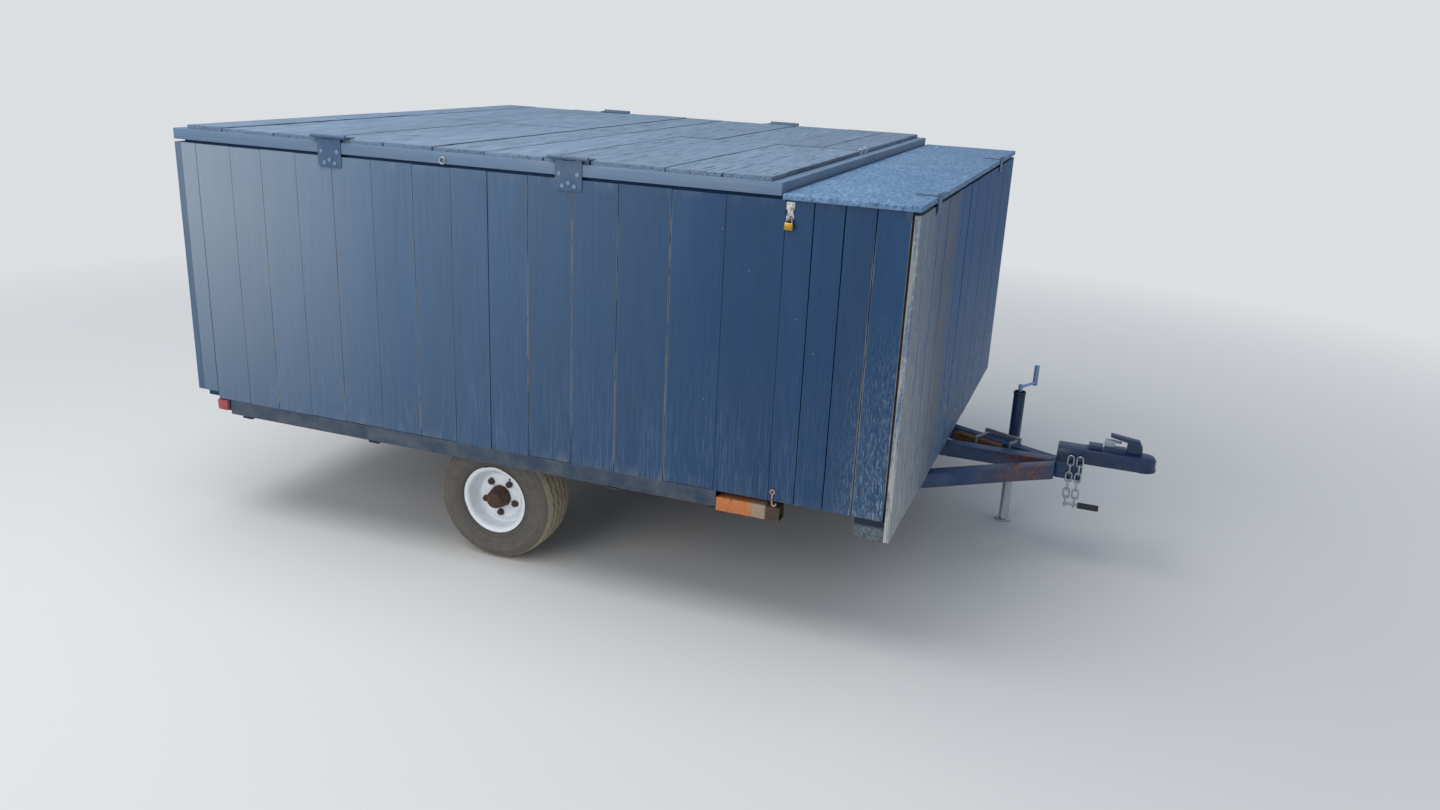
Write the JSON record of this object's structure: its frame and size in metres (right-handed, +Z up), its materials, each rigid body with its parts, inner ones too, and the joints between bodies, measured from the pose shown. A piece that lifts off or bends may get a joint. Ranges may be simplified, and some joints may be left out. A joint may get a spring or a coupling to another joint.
{
  "type": "utility trailer",
  "caption": "Low single-axle utility trailer with a plank box, two roof lid leaves, a flat front lid, a swinging jack and a ball coupler.",
  "frame": {"origin": "on the ground, midway along the whole trailer and on its centre line", "axes": "+X forward to the coupler, +Y to the trailer's left, +Z up"},
  "size_m": [3.14, 2.047, 1.345],
  "materials": {
    "frame_steel": "satin black paint, dusty",
    "rusty_tube": "orange rust",
    "floor_wood": "bare grey boards",
    "painted_wood": "satin dark paint over planks",
    "weathered_wood": "dark paint worn to grey wood",
    "framing_wood": "bare timber",
    "tongue_steel": "worn dark paint with rust",
    "coupler_steel": "satin dark paint",
    "zinc_steel": "dull zinc",
    "spring_steel": "rusty spring steel",
    "tyre": "dusty rubber",
    "rim_paint": "white enamel, rusting at the edges",
    "rusty_steel": "rusty",
    "lid_wood": "dark blue-grey paint, weathered",
    "hinge_steel": "painted over, rust spots",
    "brass": "dull brass",
    "lamp_red": "red lens",
    "block_wood": "bare brown timber"
  },
  "bodies": {
    "chassis": {"side_rail_right": "frame_steel", "side_rail_left": "frame_steel", "stub_tubes": "rusty_tube", "inner_rails": "frame_steel", "cross_members": "frame_steel", "outriggers": "frame_steel", "floor_deck": "floor_wood", "floor_joists": "floor_wood", "wall_right": "painted_wood", "wall_left": "painted_wood", "wall_front": "weathered_wood", "wall_rear": "painted_wood", "box_framing": "framing_wood", "front_sill": "framing_wood", "tongue_beam": "tongue_steel", "tongue_tube_right": "tongue_steel", "tongue_beam_left": "tongue_steel", "tongue_nose": "tongue_steel", "coupler": "coupler_steel", "coupler_latch": "coupler_steel", "coupler_lock": "zinc_steel", "axle": "frame_steel", "leaf_springs": "spring_steel", "spring_hangers": "frame_steel", "hinge_plates": "hinge_steel", "hasp": "zinc_steel", "padlock": "brass", "tail_lamps": "lamp_red", "jack_bracket": "zinc_steel", "tongue_block": "block_wood", "safety_chains": "zinc_steel"},
    "wheel_right": {"tyre_right": "tyre", "rim_right": "rim_paint", "hub_right": "rusty_steel"},
    "wheel_left": {"tyre_left": "tyre", "rim_left": "rim_paint", "hub_left": "rusty_steel"},
    "lid_right": {"leaf_frame_right": "lid_wood", "leaf_boards_right": "lid_wood", "leaf_flaps_right": "hinge_steel"},
    "lid_left": {"leaf_frame_left": "lid_wood", "leaf_boards_left": "lid_wood", "leaf_flaps_left": "hinge_steel"},
    "lid_front": {"front_lid": "lid_wood", "front_lid_straps": "hinge_steel"},
    "jack": {"jack_tube": "coupler_steel", "jack_leg": "zinc_steel", "jack_crank": "coupler_steel"}
  },
  "joints": [
    {"name": "wheel_right_spin", "type": "hinge", "parent": "chassis", "child": "wheel_right", "pos_m": [-0.45, -0.855, 0.207], "axis": [0, 1, 0], "continuous": true},
    {"name": "wheel_left_spin", "type": "hinge", "parent": "chassis", "child": "wheel_left", "pos_m": [-0.45, 0.855, 0.207], "axis": [0, 1, 0], "continuous": true},
    {"name": "lid_right_hinge", "type": "hinge", "parent": "chassis", "child": "lid_right", "pos_m": [-0.55, -1.01425, 1.339], "axis": [1, 0, 0], "range_deg": [0, 255]},
    {"name": "lid_left_hinge", "type": "hinge", "parent": "chassis", "child": "lid_left", "pos_m": [-0.55, 1.01425, 1.339], "axis": [-1, 0, 0], "range_deg": [0, 255]},
    {"name": "lid_front_hinge", "type": "hinge", "parent": "chassis", "child": "lid_front", "pos_m": [0.87425, 0, 1.3025], "axis": [0, 1, 0], "range_deg": [0, 260]},
    {"name": "jack_swing", "type": "hinge", "parent": "chassis", "child": "jack", "pos_m": [1.07784, 0.19919, 0.316], "axis": [-0.4241, -0.9056, 0], "range_deg": [0, 90]}
  ]
}
